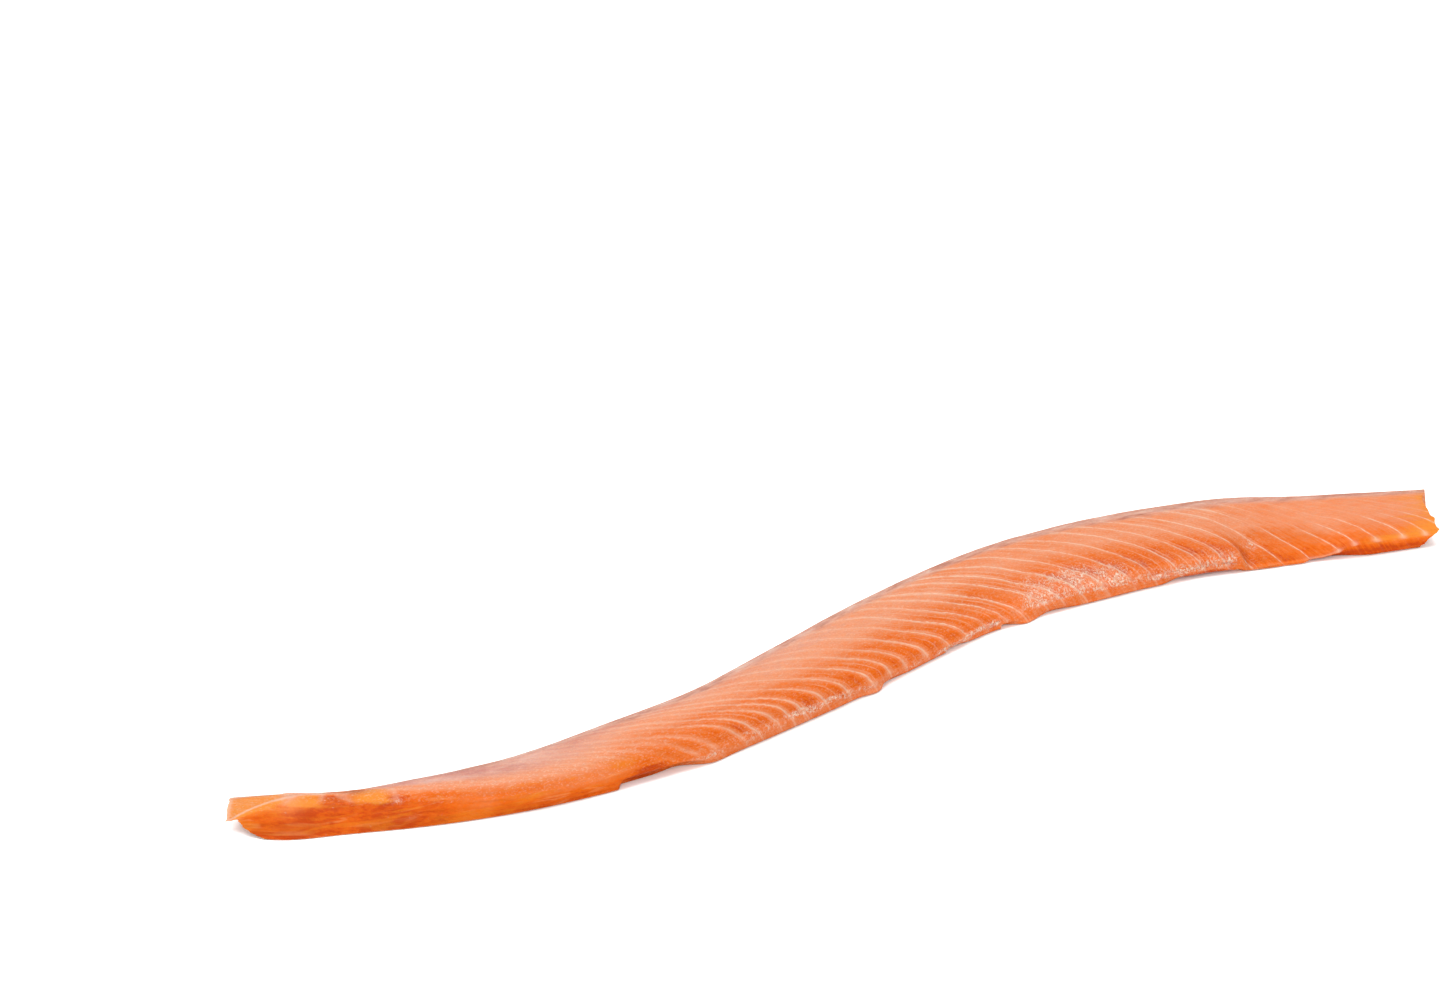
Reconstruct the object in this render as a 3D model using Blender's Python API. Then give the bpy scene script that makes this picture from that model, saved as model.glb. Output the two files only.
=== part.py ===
"""Steelhead trout strip: one long strip cut lengthwise from a side of fish, lying on a cut face.

Metres, +Z up. The strip runs along X in a lazy S, thin tail end at -X and thick head end at +X.
It lies on the plane z = 0, with the middle of its plan box at the origin. The side that the skin
was taken off faces +Y and the inner side faces -Y. The sizes below are in millimetres.
"""
import bmesh
import bpy
import numpy as np

NAME = "steelhead_trout_strip"
NODE = "trout_strip"
MM = 0.001

# Middle line of the strip as it lies, seen from above, from the tail tip to the head end
MIDDLE_LINE = (
    (-198, 3), (-180, -8), (-150, -17), (-110, -21), (-70, -18), (-31, -7),
    (7, 6), (45, 16.5), (85, 20), (125, 17), (163, 6), (197, -3.5),
)

# Sizes of the cross-section, each as (distance from the tail tip, size): how far the skin side
# and the foot of the front face lie from the middle line, and the heights of the two top edges
SKIN_SIDE = (
    (0, 5), (16, 6.7), (30, 6.4), (50, 6.6), (80, 6.3), (110, 8.8), (145, 9.3), (190, 11.3),
    (240, 12.4), (290, 13.8), (325, 13.5), (345, 13.6), (362, 11.9), (382, 11), (405, 9.6),
)
FRONT_SIDE = (
    (0, 5.4), (16, 6), (30, 4.4), (50, 5.1), (80, 6.8), (110, 7.8), (145, 8.9), (190, 11.3),
    (240, 11.6), (290, 14.2), (325, 13.4), (345, 14), (362, 12.3), (382, 10.9), (405, 8.7),
)
SKIN_HEIGHT = (
    (0, 6.6), (14, 7.3), (28, 7.5), (60, 9.3), (110, 12), (150, 13.4), (220, 13.9), (300, 12.9), (405, 11.3),
)
CREASE_HEIGHT = (
    (0, 2.8), (5, 5.2), (10, 6.9), (16, 7.8), (35, 8), (60, 8.4), (100, 8.6), (140, 9.6), (170, 8.6),
    (200, 7.5), (225, 6.8), (250, 6.6), (285, 6.8), (322, 6.6), (405, 5.2),
)
# How far the crease stands back from the foot of the front face, which leans near the tail
CREASE_SET_BACK = ((0, 2.5), (16, 9), (35, 7.5), (60, 4), (85, 0.5), (105, 0), (130, 0), (405, 0))

# The lip that overhangs the front face, the thin skirt past it, and the undercut head end
LIP_MIDDLE = 115
LIP_HALF_LENGTH = 12
LIP_OVERHANG = 2.6
SKIRT_START = 337
SKIRT_END = 366
SKIRT_RAMP = 7
SKIRT_HEIGHT = 1.4
HEAD_UNDERCUT = 1

# Corner radii and how far the sides bow out, in the order of the section: foot of the skin side
# and the skin side, skin edge and top, crease and front face, foot of the front and the base
CORNER_RADII = (2.0, 1.2, 2.6, 1.6)
SIDE_BOWS = (0.8, 0.4, 0.5, 0)
FULL_BOW_LENGTH = 8
WIDEST_ARC = 0.4
SKIN_FOOT_INSET = 1

# How far the cut ends stand back from the ends of the middle line, at each of the four corners,
# and how quickly the rings between them turn square again
TAIL_CUT_BACK = (10, 0, 0, 10)
HEAD_CUT_BACK = (4, 1, 2, 6)
CUT_FADE = 6
TAIL_HOLLOW = 5
HEAD_BULGE = 1

# Fineness of the faceted solid
STATIONS = 92
SIDE_STEPS = 6
CORNER_STEPS = 3
CAP_RINGS = (0.75, 0.4)
PATH_STEP = 0.5


def through(keys, at):
    """Smooth curve through (place, value) keys.

    Each stretch is a cubic, whose slope at a key is that of the keys on either side of it.
    """
    place, value = np.array(keys, float).T
    slope = np.gradient(value, place)
    i = np.clip(np.searchsorted(place, at) - 1, 0, len(place) - 2)
    gap = place[i + 1] - place[i]
    t = np.clip((at - place[i]) / gap, 0, 1)
    rise = value[i + 1] - value[i]
    start_bend = slope[i] * gap - rise
    end_bend = rise - slope[i + 1] * gap
    return value[i] + rise * t + t * (1 - t) * (start_bend * (1 - t) + end_bend * t)


def ramp(at, start, length):
    """Soft step from 0 at start to 1 at start + length."""
    t = np.clip((at - start) / length, 0, 1)
    return t * t * (3 - 2 * t)


def middle_line():
    """The middle line in short steps: distances from the tail tip, points, and directions."""
    knots = np.array(MIDDLE_LINE, float)
    spans = np.r_[0, np.cumsum(np.hypot(*np.diff(knots, axis=0).T))]
    fine = np.arange(0, spans[-1], PATH_STEP / 5)
    path = np.stack([through(np.stack([spans, knots[:, k]], 1), fine) for k in (0, 1)], 1)
    walked = np.r_[0, np.cumsum(np.hypot(*np.diff(path, axis=0).T))]
    distance = np.linspace(0, walked[-1], round(walked[-1] / PATH_STEP) + 1)
    points = np.stack([np.interp(distance, walked, path[:, k]) for k in (0, 1)], 1)
    direction = np.gradient(points, axis=0)
    direction /= np.hypot(*direction.T)[:, None]
    return distance, points, direction


def corners(along):
    """The four corners of the section at each distance along, as (across, up).

    They go from the foot of the skin side over the skin edge and the crease to the front foot.
    Across is measured from the middle line towards the skin side.
    """
    skin_side = through(SKIN_SIDE, along)
    front_side = through(FRONT_SIDE, along)
    skin_top = through(SKIN_HEIGHT, along)
    skirt = ramp(along, SKIRT_START, SKIRT_RAMP) * (1 - ramp(along, SKIRT_END, 2 * SKIRT_RAMP))
    crease = through(CREASE_HEIGHT, along)
    crease += (SKIRT_HEIGHT - crease) * skirt
    lip = LIP_OVERHANG * np.exp(-(((along - LIP_MIDDLE) / LIP_HALF_LENGTH) ** 2))
    undercut = lip + HEAD_UNDERCUT * ramp(along, SKIRT_END, 2 * SKIRT_RAMP)
    set_back = through(CREASE_SET_BACK, along)
    floor = np.zeros_like(along)
    return np.stack([
        np.stack([skin_side - SKIN_FOOT_INSET, floor], -1),
        np.stack([skin_side, skin_top], -1),
        np.stack([set_back - front_side, crease], -1),
        np.stack([undercut - front_side, floor], -1),
    ], -2)


def section(along, corner, step):
    """One point of the rounded section at each distance along, as (across, up).

    The outline is an arc at each corner and then the side to the next one. An arc is a quadratic
    curve that leaves both sides at the corner's radius. A side is bowed out by a parabola. Step
    counts through the arc first and then along the side.
    """
    box = corners(along)
    here = box[..., corner, :]
    before = box[..., corner - 1, :]
    after = box[..., (corner + 1) % 4, :]
    radius = CORNER_RADII[corner]
    next_radius = CORNER_RADII[(corner + 1) % 4]
    back, ahead = before - here, after - here
    back_length = np.linalg.norm(back, axis=-1, keepdims=True)
    length = np.linalg.norm(ahead, axis=-1, keepdims=True)
    enter = here + back * np.minimum(radius / back_length, WIDEST_ARC)
    leave = here + ahead * np.minimum(radius / length, WIDEST_ARC)
    arrive = after - ahead * np.minimum(next_radius / length, WIDEST_ARC)
    if step < CORNER_STEPS:
        t = step / CORNER_STEPS
        return (1 - t) ** 2 * enter + 2 * t * (1 - t) * here + t * t * leave
    t = (step - CORNER_STEPS) / SIDE_STEPS
    outwards = np.stack([ahead[..., 1], -ahead[..., 0]], -1) / length
    bow = SIDE_BOWS[corner] * np.minimum(length / FULL_BOW_LENGTH, 1) * 4 * t * (1 - t)
    return leave + (arrive - leave) * t + outwards * bow


def skin_of_strip():
    """The strip's rings from tail to head, as an array of rings by points by coordinates.

    Each point of the outline has its own start and end along the middle line, between those of
    the two corners beside it, so the ends are cut slanting while the rings between are square.
    """
    distance, points, direction = middle_line()
    total = distance[-1]
    fraction = np.linspace(0, 1, STATIONS)
    lines = []
    for corner in range(4):
        following = (corner + 1) % 4
        for step in range(CORNER_STEPS + SIDE_STEPS):
            mix = max(step - CORNER_STEPS / 2, 0) / (SIDE_STEPS + CORNER_STEPS / 2)
            tail = TAIL_CUT_BACK[corner] * (1 - mix) + TAIL_CUT_BACK[following] * mix
            head = HEAD_CUT_BACK[corner] * (1 - mix) + HEAD_CUT_BACK[following] * mix
            along = fraction * total
            along += tail * (1 - fraction) ** CUT_FADE - head * fraction ** CUT_FADE
            across, up = section(along, corner, step).T
            line = np.stack([np.interp(along, distance, points[:, k]) for k in (0, 1)], 1)
            aim = np.stack([np.interp(along, distance, direction[:, k]) for k in (0, 1)], 1)
            side = np.stack([-aim[:, 1], aim[:, 0]], 1)
            lines.append(np.column_stack([line + side * across[:, None], up]))
    return np.stack(lines, 1)


def closed_by_caps(rings):
    """The rings with smaller ones added at both ends, and the two tips that close them."""
    tail_inward = rings[1].mean(0) - rings[0].mean(0)
    head_inward = rings[-2].mean(0) - rings[-1].mean(0)
    tail_tip = rings[0].mean(0) + TAIL_HOLLOW * tail_inward / np.linalg.norm(tail_inward)
    head_tip = rings[-1].mean(0) - HEAD_BULGE * head_inward / np.linalg.norm(head_inward)
    tail = [tail_tip + k * (rings[0] - tail_tip) for k in CAP_RINGS]
    head = [head_tip + k * (rings[-1] - head_tip) for k in CAP_RINGS]
    return np.stack([*reversed(tail), *rings, *head]), tail_tip, head_tip


def flesh_material():
    """Moist orange flesh."""
    material = bpy.data.materials.new("trout_flesh")
    material.use_nodes = True
    shader = material.node_tree.nodes["Principled BSDF"]
    shader.inputs["Base Color"].default_value = (0.90, 0.32, 0.13, 1)
    shader.inputs["Roughness"].default_value = 0.38
    shader.inputs["Metallic"].default_value = 0
    return material


def build_strip():
    """The strip as one closed loft, shaded smooth."""
    rings, tail_tip, head_tip = closed_by_caps(skin_of_strip())
    count, around = rings.shape[:2]
    centre = (rings.reshape(-1, 3).min(0) + rings.reshape(-1, 3).max(0)) / 2 * (1, 1, 0)

    body = bmesh.new()
    grid = [[body.verts.new((point - centre) * MM) for point in ring] for ring in rings]
    tips = [body.verts.new((tip - centre) * MM) for tip in (tail_tip, head_tip)]
    for j in range(around):
        k = (j + 1) % around
        for i in range(count - 1):
            body.faces.new((grid[i][j], grid[i + 1][j], grid[i + 1][k], grid[i][k]))
        body.faces.new((tips[0], grid[0][j], grid[0][k]))
        body.faces.new((tips[1], grid[-1][k], grid[-1][j]))
    bmesh.ops.recalc_face_normals(body, faces=body.faces)
    bmesh.ops.triangulate(body, faces=body.faces)
    mesh = bpy.data.meshes.new(NODE)
    body.to_mesh(mesh)
    body.free()
    mesh.shade_smooth()
    mesh.set_sharp_from_angle(angle=0.9)
    mesh.materials.append(flesh_material())
    return bpy.data.objects.new(NODE, mesh)


def main():
    for existing in list(bpy.data.objects):
        bpy.data.objects.remove(existing)
    collection = bpy.data.collections.new(NAME)
    bpy.context.scene.collection.children.link(collection)
    collection.objects.link(build_strip())


main()
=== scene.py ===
"""Looks of a steelhead trout strip: one raw strip of fish lying in a lazy S on a white table.

The strip is one closed skin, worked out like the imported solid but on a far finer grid, with the
relief of its muscle layers, torn crease and cut ends. A second piece holds the torn fibres that
stand up along the crease. Sizes are in millimetres until they reach a mesh. Two coordinates run
over the skin: along is the distance from the tail tip on the middle line, and girth goes round
the section, -1 to 0 up the skinned side, 0 to 1 over the top, 1 to 2 down the front face and 2
to 3 under the base. The edge at girth 1 is called the crease.
"""
import math
from types import SimpleNamespace

import bpy
import numpy as np
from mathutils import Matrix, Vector


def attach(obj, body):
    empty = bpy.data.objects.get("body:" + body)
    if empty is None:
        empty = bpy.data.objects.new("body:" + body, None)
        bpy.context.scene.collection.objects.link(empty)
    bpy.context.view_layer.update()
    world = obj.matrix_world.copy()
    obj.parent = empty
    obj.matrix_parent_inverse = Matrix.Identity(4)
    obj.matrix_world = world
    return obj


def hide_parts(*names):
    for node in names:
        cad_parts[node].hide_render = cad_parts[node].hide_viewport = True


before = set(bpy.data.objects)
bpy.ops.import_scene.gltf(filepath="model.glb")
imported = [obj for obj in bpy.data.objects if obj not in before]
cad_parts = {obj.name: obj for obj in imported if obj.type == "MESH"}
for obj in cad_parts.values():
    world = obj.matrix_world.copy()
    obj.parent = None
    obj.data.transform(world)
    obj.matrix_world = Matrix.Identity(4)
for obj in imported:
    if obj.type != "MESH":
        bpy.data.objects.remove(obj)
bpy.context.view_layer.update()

# One millimetre in metres
MM = 0.001

# Middle line of the strip as it lies, seen from above, from the tail tip to the head end
MIDDLE_LINE = (
    (-198, 3), (-180, -8), (-150, -17), (-110, -21), (-70, -18), (-31, -7),
    (7, 6), (45, 16.5), (85, 20), (125, 17), (163, 6), (197, -3.5),
)
PATH_STEP = 0.5

# Sizes of the cross-section, each as (distance along, size): how far the skinned side and the foot
# of the front face lie from the middle line, and the heights of the skin edge and the crease
SKIN_SIDE = (
    (0, 5), (16, 6.7), (30, 6.4), (50, 6.6), (80, 6.3), (110, 8.8), (145, 9.3), (190, 11.3),
    (240, 12.4), (290, 13.8), (325, 13.5), (345, 13.6), (362, 11.9), (382, 11), (405, 9.6),
)
FRONT_SIDE = (
    (0, 5.4), (16, 6), (30, 4.4), (50, 5.1), (80, 6.8), (110, 7.8), (145, 8.9), (190, 11.3),
    (240, 11.6), (290, 14.2), (325, 13.4), (345, 14), (362, 12.3), (382, 10.9), (405, 8.7),
)
SKIN_HEIGHT = (
    (0, 6.6), (14, 7.3), (28, 7.5), (60, 9.3), (110, 12), (150, 13.3), (220, 13.7), (300, 12.8),
    (405, 11.2),
)
CREASE_HEIGHT = (
    (0, 2.8), (5, 5.2), (10, 6.9), (16, 7.8), (35, 8), (60, 8.4), (100, 8.6), (140, 9.6), (170, 8.6),
    (200, 7.5), (225, 6.8), (250, 6.6), (285, 6.8), (322, 6.6), (405, 5.2),
)

# How far the crease stands back from the front side, and the radius of its rounding
CREASE_SET_BACK = (
    (0, 2.5), (16, 9), (35, 7.5), (60, 4), (85, 0.7), (105, 1.9), (135, 1.5), (160, 0.6), (235, 0.6),
    (256, 1.7), (275, 0.8), (300, 0.2), (345, 0), (385, -0.2), (405, -0.2),
)
CREASE_RADIUS = (
    (0, 0.5), (20, 0.8), (45, 2), (90, 3.2), (140, 5), (310, 5), (338, 2.6), (365, 1.1), (405, 0.9),
)

# The thin skirt past the notch, where the crease drops almost to the table
SKIRT_START = 338
SKIRT_END = 366
SKIRT_RAMP = 5
SKIRT_FADE = 14
SKIRT_HEIGHT = 1.4
SKIRT_SOFTNESS = 16

# The other corners' radii, and how far the sides bow out, in the order of the girth
FOOT_RADIUS = 2.0
SKIN_EDGE_RADIUS = 1.0
FRONT_FOOT_RADIUS = 0.9
SIDE_BOWS = (0.8, 0.4, 0.5, 0)
FULL_BOW_LENGTH = 8
WIDEST_ARC = 0.4
SKIN_FOOT_INSET = 1

# Middle of the strip's plan box, which is moved to the origin
PLAN_CENTRE = (-0.251, 2.718, 0)

# A stretch of the strip is given as (start, rise, end, fall): where it begins, the length of its
# soft beginning, where it ceases, and the length of its soft end. Here are the places where the
# foot of the front face stands out, as (distance along, reach, how far), and the stretch past the
# skirt where it stands back.
FOOT_BULGES = ((132, 6, 1.0), (192, 4, 1.7), (257, 6, 1.8), (312, 7, 0.5))
FOOT_RECESS = 3.2
RECESS_STRETCH = (361, 4, 368, 16)

# Where the front face is turned in under itself at its foot, how far, and below what height: the
# overhanging lip and the ledge before the skirt, then steps, each a stretch and a depth, and
# hollows, each as (distance along, reach, depth)
LIP = (104, 2.5, 122, 12)
LEDGE = (308, 14, 337, 4)
UNDERCUT = 2.6
TURNED_BELOW = 1.8
STEPS = ((194.5, 2, 199, 10, 0.8), (224, 2, 228, 8, 1.5), (248, 2, 250, 8, 2.2))
HOLLOWS = ((124, 6, 0.9), (270, 6, 1.2))

# How far each cut end stands back from the end of the middle line, round the girth
TAIL_OUTLINE = (
    (-1, 10), (-0.06, 0.3), (0.14, 0.1), (0.97, 0.2), (1.06, 1.8), (1.21, 3.4), (1.62, 5.1),
    (1.82, 7.2), (1.91, 9.1), (1.97, 11), (2.03, 13.8), (2.1, 16), (2.6, 14), (3, 10),
)
HEAD_OUTLINE = (
    (-1, 6), (-0.3, 4.6), (-0.12, 2.8), (-0.04, 0.3), (0.18, 2.1), (0.3, 3.2), (0.39, 3.4), (0.61, 3.2),
    (0.65, 3.1), (0.7, 2.3), (0.82, 2.7), (0.98, 2.8), (1.04, 3.7), (1.38, 6), (1.82, 7.4), (1.97, 8.9),
    (3, 6),
)
CUT_FADE = 6
TAIL_HOLLOW = 1
HEAD_BULGE = 1

# Fineness of the skin: rings along, then arc steps and side steps at each corner of the section
RINGS = 640
ARC_STEPS = (3, 6, 8, 4)
SIDE_STEPS = (20, 58, 30, 14)
ARC_SHARE = 0.06
CAP_RINGS = 12

# Where the muscle lines meet the crease, from the middle to the head, and their even spacing
# towards the tail and past the head
LINE_CROSSINGS = (
    118, 124, 130, 139, 144, 151, 156, 161, 169, 177.5, 186.5, 195, 202, 211, 220, 229, 238, 246, 252,
    261.5, 268, 276, 285, 294.5, 303, 312.5, 321, 329.5, 338, 349, 358, 368, 374.5, 381.5, 390.5, 398, 405,
)
TAIL_SPACING = 6
TAIL_LINES = 30
HEAD_SPACING = 7
HEAD_LINES = 8

# How far a line runs back tailwards from the crease to the skinned side, and how it curves there
LINE_RUN = (
    (0, 34), (60, 44), (120, 43), (160, 38), (200, 33), (235, 35), (260, 31), (330, 28), (365, 31),
    (404, 44),
)
LINE_CURVE = (
    (0, 1.0), (105, 1.0), (135, 1.18), (240, 1.2), (268, 1.3), (285, 1.45), (330, 1.55), (365, 1.9),
    (404, 2.0),
)
EDGE_RUN = 8
EDGE_CURVE = 8
FRONT_LEAN = 6
ZIGZAG = 7

# Width of the greyish fat band that shows on top beside the skinned side
BAND_WIDTH = (
    (0, 1.0), (60, 1.6), (120, 2.6), (200, 3.0), (280, 3.5), (335, 4.4), (352, 3.4), (366, 2.8),
    (385, 2.9), (405, 2.4),
)

# The torn border of the flesh: girth of its middle, how densely it is torn, and its stretch
TORN_MIDDLE = (
    (118, 1.45), (135, 1.5), (170, 1.25), (210, 1.6), (230, 1.5), (248, 1.35), (262, 1.06), (290, 1.03),
    (310, 1.2), (335, 1.12),
)
TORN_OFTEN = (
    (118, 0.9), (131, 1.1), (150, 0.35), (170, 1.3), (190, 0.35), (210, 0.9), (231, 1.6), (250, 0.8),
    (270, 1.0), (290, 1.0), (314, 1.6), (335, 1.3),
)
TORN_STRETCH = (120, 10, 335, 5)

# Single spots, as (distance along, reach, girth, reach round, strength): small torn marks, bulges
# and dents in mm, warmer and cooler flesh on the top, and fat, whose first spot is also a painted
# highlight on the tail's knob
TORN_MARKS = ((345, 2.6, 0.74, 0.07, 0.6), (45, 1.4, 1.12, 0.08, 0.4))
BULGES = ((34, 3, 1.5, 0.25, -0.5), (16, 3.5, 0.6, 0.5, 0.5), (40, 5, 1.1, 0.14, 0.35))
WARM_SPOTS = ((250, 35, 0.27, 0.15, 0.10), (182, 14, 0.3, 0.2, -0.12))
FAT_AND_HIGHLIGHT_SPOTS = ((17, 3, 0.6, 0.5, 0.6), (367, 5, 1.0, 0.04, 0.5))

# The fold along the skirt, as its stretch, the girth of its top, its half width and its height
FOLD_STRETCH = (340, 5, 368, 14)
FOLD_GIRTH = 0.52
FOLD_HALF_WIDTH = 0.16
FOLD_HEIGHT = 0.9

# Where the top near the tail is pinched in and shows deep orange
PINCH = 35
PINCH_REACH = 4.5

# Amber lobes of the tail's crease, as (distance along, reach, girth, reach round), and how wide
# the pale rim of each is
AMBER_LOBES = ((21, 3.4, 1.10, 0.16), (39, 5.2, 1.06, 0.17))
LOBE_RIMS = (0.25, 0.22)

# How far the muscle layers swell on the top, the front face and the skinned side, how far each
# overlaps the next at the crease and swells there, and how far its pale end stands out, in mm
LAYER_SWELLS = (0.07, 0.08, 0.08)
LAYER_OVERLAP = 0.5
CREASE_SWELL = 0.25
LINE_END_HEIGHT = 0.4

# Edges that bend further than this, in radians, are shaded sharp
SHARP_ANGLE = 0.9

# Torn fibres along the crease: how many, how fine, how deep their ends are sunk, and the usual
# distance between two columns of the skin
FIBRES = 1100
FIBRE_RINGS = 5
FIBRE_SIDES = 4
FIBRE_DEPTH = 0.12
COLUMN_STEP = 0.36

# How much the studio brightens a surface's own colour
STUDIO_LIGHT = 2.2

# Tints as they look on a screen, as ramps of (place, red, green, blue): flesh from its palest to
# its deepest, the rosy flesh of the tail with its painted pink sheen, the fat band, the skinned
# side, and torn fibres
FLESH_TONES = (
    (0.0, 228, 170, 150), (0.20, 241, 163, 130), (0.35, 247, 161, 119), (0.50, 246, 147, 98),
    (0.62, 243, 133, 74), (0.73, 243, 120, 46), (0.84, 238, 106, 6), (0.94, 224, 90, 0), (1.0, 204, 72, 0),
)
ROSY_AND_SHEEN_TONES = ((0.34, 198, 124, 120), (0.50, 222, 158, 142), (0.70, 242, 198, 184))
BAND_TONES = ((0.30, 176, 118, 104), (0.43, 208, 152, 134), (0.55, 226, 176, 158), (0.70, 238, 208, 194))
SKIN_TONES = ((0.25, 150, 108, 96), (0.42, 188, 140, 122), (0.58, 214, 176, 160), (0.78, 236, 218, 206))
FIBRE_TONES = ((0.3, 250, 176, 134), (0.5, 253, 204, 172), (0.7, 255, 226, 204))

# Tints of single things
# Amber flesh, also used to paint the glow of light through the thin head end
AMBER_AND_GLOW = (250, 148, 52)
PALE_STREAK = (250, 160, 98)
GOLD_STREAK = (246, 140, 28)
MUSCLE_LINE = (254, 212, 184)
THIN_LINE = (253, 200, 168)
# Pale grains of the flesh, partly painted tiny highlights of moist fibres
GRAINS_AND_GLINTS = (252, 206, 178)
# Pale torn flesh, also used for painted wet glints on it
TORN_FLESH_AND_GLINTS = (255, 226, 204)
# Pale fat, also used for painted highlights on the tail
FAT_AND_HIGHLIGHT = (246, 210, 188)
SKIN_EDGE = (232, 168, 138)


def through(keys, at):
    """Smooth curve through (place, value) keys: a cubic between two keys, whose slope at each key
    is that of the keys on either side of it."""
    place, value = np.array(keys, float).T
    slope = np.gradient(value, place)
    i = np.clip(np.searchsorted(place, at) - 1, 0, len(place) - 2)
    gap = place[i + 1] - place[i]
    t = np.clip((at - place[i]) / gap, 0, 1)
    rise = value[i + 1] - value[i]
    start_bend = slope[i] * gap - rise
    end_bend = rise - slope[i + 1] * gap
    return value[i] + rise * t + t * (1 - t) * (start_bend * (1 - t) + end_bend * t)


def ramp(at, start, length):
    """Soft step from 0 at start to 1 at start + length: 3t² - 2t³."""
    t = np.clip((at - start) / length, 0, 1)
    return t * t * (3 - 2 * t)


def stretch(at, start, rise, end, fall):
    """A soft step up from 0 to 1 at start, over the length rise, and down again at end, over fall."""
    return ramp(at, start, rise) * (1 - ramp(at, end, fall))


def hump(at, middle, reach):
    """Bell of height 1 at middle, nearly gone at twice its reach: exp(-(distance / reach)²)."""
    return np.exp(-(((at - middle) / reach) ** 2))


def spots(along, girth, places):
    """Sum of bells over the skin, each the product of one along and one round, by a strength."""
    return sum(
        strength * hump(along, at, reach) * hump(girth, middle, reach_round)
        for at, reach, middle, reach_round, strength in places
    )


def grain(x, y, seed):
    """Smooth random field between -1 and 1: values on a whole-number lattice, eased between."""
    size = 256
    lattice = np.random.default_rng(seed).uniform(-1, 1, (size, size))
    column, row = np.floor(x).astype(int), np.floor(y).astype(int)
    u, v = x - column, y - row
    u, v = u * u * (3 - 2 * u), v * v * (3 - 2 * v)
    left, right, low, high = column % size, (column + 1) % size, row % size, (row + 1) % size
    on_left = lattice[left, low] * (1 - v) + lattice[left, high] * v
    on_right = lattice[right, low] * (1 - v) + lattice[right, high] * v
    return on_left * (1 - u) + on_right * u


def middle_line():
    """The middle line in short steps: distances from the tail tip, points, and directions."""
    knots = np.array(MIDDLE_LINE, float)
    spans = np.r_[0, np.cumsum(np.hypot(*np.diff(knots, axis=0).T))]
    fine = np.arange(0, spans[-1], PATH_STEP / 5)
    path = np.stack([through(np.stack([spans, knots[:, k]], 1), fine) for k in (0, 1)], 1)
    walked = np.r_[0, np.cumsum(np.hypot(*np.diff(path, axis=0).T))]
    distance = np.linspace(0, walked[-1], round(walked[-1] / PATH_STEP) + 1)
    points = np.stack([np.interp(distance, walked, path[:, k]) for k in (0, 1)], 1)
    direction = np.gradient(points, axis=0)
    direction /= np.hypot(*direction.T)[:, None]
    return distance, points, direction


DISTANCE, PATH, DIRECTION = middle_line()


def corners(along, over):
    """The four corners of the section as (offset, up): foot of the skinned side, skin edge,
    crease, and foot of the front face. Offset is from the middle line towards the skinned side.
    Over is 0 at the skin edge and 1 at the crease: the skirt starts softer away from the crease."""
    skin, front = through(SKIN_SIDE, along), through(FRONT_SIDE, along)
    soft = SKIRT_SOFTNESS * (1 - over)
    skirt = stretch(along, SKIRT_START - soft, SKIRT_RAMP + 2 * soft, SKIRT_END, SKIRT_FADE)
    crease = through(CREASE_HEIGHT, along)
    crease += (SKIRT_HEIGHT - crease) * skirt
    set_back = through(CREASE_SET_BACK, along)
    floor = np.zeros_like(along)
    bulge = sum(far * hump(along, at, reach) for at, reach, far in FOOT_BULGES)
    foot = FOOT_RECESS * stretch(along, *RECESS_STRETCH) - front - bulge
    return (
        np.stack([skin - SKIN_FOOT_INSET, floor], -1),
        np.stack([skin, through(SKIN_HEIGHT, along)], -1),
        np.stack([set_back - front, crease], -1),
        np.stack([foot, floor], -1),
    )


def corner_radius(along, corner):
    """Radius of the rounding at a corner; the crease's own is small at both ends of the strip."""
    crease = through(CREASE_RADIUS, along)
    radius = (FOOT_RADIUS, SKIN_EDGE_RADIUS, crease, FRONT_FOOT_RADIUS)[corner]
    return np.broadcast_to(radius, along.shape)[..., None]


def block(along, corner):
    """One corner's arc and the side after it, for an array of distances by outline steps.

    The arc is a quadratic curve that leaves both sides at the corner's radius, and the side is
    bowed out by a parabola.
    """
    arc, side = ARC_STEPS[corner], SIDE_STEPS[corner]
    over = np.r_[np.zeros(arc), np.arange(side) / side] if corner == 1 else 1
    box = corners(along, over)
    following = (corner + 1) % 4
    here, before, after = box[corner], box[corner - 1], box[following]
    radius, next_radius = corner_radius(along, corner), corner_radius(along, following)
    back, ahead = before - here, after - here
    back_length = np.linalg.norm(back, axis=-1, keepdims=True)
    length = np.linalg.norm(ahead, axis=-1, keepdims=True)
    enter = here + back * np.minimum(radius / back_length, WIDEST_ARC)
    leave = here + ahead * np.minimum(radius / length, WIDEST_ARC)
    arrive = after - ahead * np.minimum(next_radius / length, WIDEST_ARC)
    t = (np.arange(arc) / arc)[:, None]
    arc_points = (1 - t) ** 2 * enter[:, :arc] + 2 * t * (1 - t) * here[:, :arc]
    arc_points = arc_points + t * t * leave[:, :arc]
    t = (np.arange(side) / side)[:, None]
    outwards = np.stack([ahead[..., 1], -ahead[..., 0]], -1) / length
    bow = SIDE_BOWS[corner] * np.minimum(length / FULL_BOW_LENGTH, 1)
    side_points = leave[:, arc:] + (arrive - leave)[:, arc:] * t
    side_points = side_points + (outwards * bow)[:, arc:] * 4 * t * (1 - t)
    return np.concatenate([arc_points, side_points], 1)


def girth_of_columns():
    """Girth of each outline step. The arcs take a small share on either side of each corner."""
    columns = []
    for corner in range(4):
        arc = corner - 1 + (np.arange(ARC_STEPS[corner]) / ARC_STEPS[corner] - 0.5) * 2 * ARC_SHARE
        side = np.arange(SIDE_STEPS[corner]) / SIDE_STEPS[corner]
        columns += [arc, corner - 1 + ARC_SHARE + side * (1 - 2 * ARC_SHARE)]
    return np.concatenate(columns)


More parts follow.
